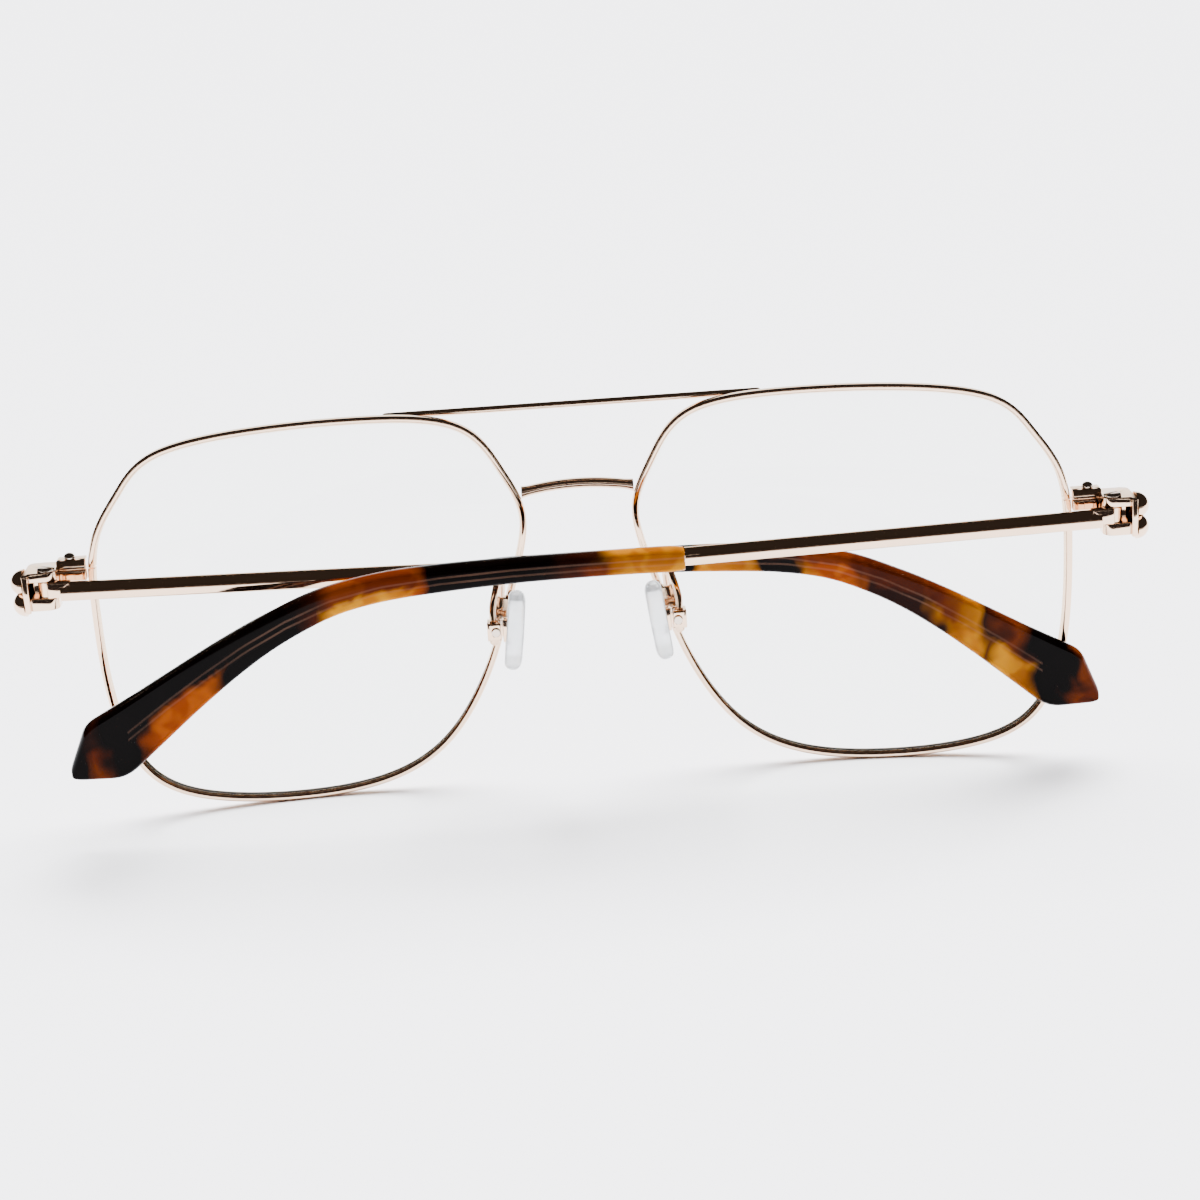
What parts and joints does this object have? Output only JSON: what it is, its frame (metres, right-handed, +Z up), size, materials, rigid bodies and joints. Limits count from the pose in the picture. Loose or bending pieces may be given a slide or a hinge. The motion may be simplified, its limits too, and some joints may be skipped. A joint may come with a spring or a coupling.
{
  "type": "eyeglasses",
  "caption": "Folding metal eyeglasses with a straight brow bar over an arched bridge, rounded square clear lenses, rocking clear nose pads and slim temples with tortoiseshell sleeves.",
  "frame": {"origin": "under the middle of the whole object, at the height of the rims' lowest edge", "axes": "+X across the face towards the wearer's right, +Y forward out of the lenses, +Z up"},
  "size_m": [0.1494, 0.019, 0.0528],
  "materials": {
    "rose_gold": "polished, pale rose-gold plated",
    "screw_steel": "bright turned screws",
    "clear_lens": "clear coated resin lens",
    "clear_silicone": "clear soft silicone",
    "tortoise_acetate": "polished brown and amber tortoiseshell acetate"
  },
  "bodies": {
    "front": {"brow_bar": "rose_gold", "bridge": "rose_gold", "rim_left": "rose_gold", "lens_left": "clear_lens", "closing_block_upper_left": "rose_gold", "closing_block_lower_left": "rose_gold", "closing_screw_left": "screw_steel", "end_piece_left": "rose_gold", "hinge_screw_left": "screw_steel", "ornament_left": "rose_gold", "pad_mount_block_left": "rose_gold", "pad_mount_screw_left": "screw_steel", "pad_mount_foot_left": "rose_gold", "pad_arm_left": "rose_gold", "pad_box_left": "rose_gold", "pad_screw_left": "screw_steel", "rim_right": "rose_gold", "lens_right": "clear_lens", "closing_block_upper_right": "rose_gold", "closing_block_lower_right": "rose_gold", "closing_screw_right": "screw_steel", "end_piece_right": "rose_gold", "hinge_screw_right": "screw_steel", "ornament_right": "rose_gold", "pad_mount_block_right": "rose_gold", "pad_mount_screw_right": "screw_steel", "pad_mount_foot_right": "rose_gold", "pad_arm_right": "rose_gold", "pad_box_right": "rose_gold", "pad_screw_right": "screw_steel"},
    "left_temple": {"temple_bar_left": "rose_gold", "temple_tip_left": "tortoise_acetate"},
    "left_nose_pad": {"nose_pad_left": "clear_silicone", "pad_lug_left": "rose_gold"},
    "right_temple": {"temple_bar_right": "rose_gold", "temple_tip_right": "tortoise_acetate"},
    "right_nose_pad": {"nose_pad_right": "clear_silicone", "pad_lug_right": "rose_gold"}
  },
  "joints": [
    {"name": "right_temple_fold", "type": "hinge", "parent": "front", "child": "right_temple", "pos_m": [0.07, 0.00047, 0.0341], "axis": [0, 0, 1], "range_deg": [0, 88]},
    {"name": "left_temple_fold", "type": "hinge", "parent": "front", "child": "left_temple", "pos_m": [-0.07, 0.00047, 0.0341], "axis": [0, 0, -1], "range_deg": [0, 91.6]},
    {"name": "right_pad_rock", "type": "hinge", "parent": "front", "child": "right_nose_pad", "pos_m": [0.012, -0.00093, 0.02445], "axis": [0, 1, 0], "range_deg": [-6, 6]},
    {"name": "left_pad_rock", "type": "hinge", "parent": "front", "child": "left_nose_pad", "pos_m": [-0.012, -0.00093, 0.02445], "axis": [0, -1, 0], "range_deg": [-6, 6]}
  ]
}
